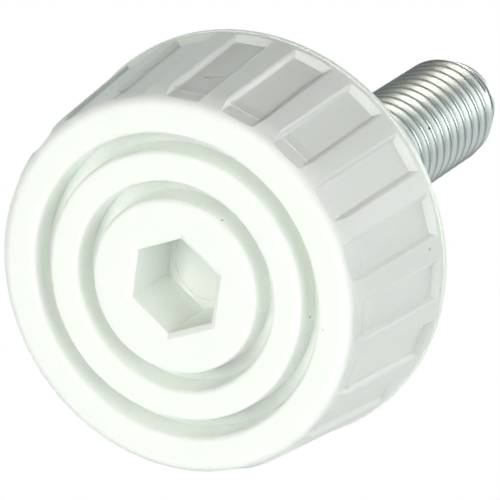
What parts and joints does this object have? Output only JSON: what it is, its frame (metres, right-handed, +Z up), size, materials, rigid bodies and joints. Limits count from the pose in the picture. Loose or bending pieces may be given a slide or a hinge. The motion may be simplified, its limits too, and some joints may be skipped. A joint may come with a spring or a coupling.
{
  "type": "washing machine foot",
  "caption": "Adjustable appliance foot: a tapered white plastic body with grip flutes, ring grooves and a hexagonal key socket in its base, moulded on a threaded steel stud.",
  "frame": {"origin": "centre of the base face that stands on the floor", "axes": "+Z up along the stud, towards its tip; +X through one corner of the key socket and the middle of one grip flute"},
  "size_m": [0.0296, 0.0296, 0.0457],
  "materials": {
    "plastic": "satin moulded white with a slight green cast",
    "zinc_steel": "bright zinc plate"
  },
  "bodies": {
    "root": {"foot_body": "plastic", "threaded_stud": "zinc_steel"}
  },
  "joints": []
}
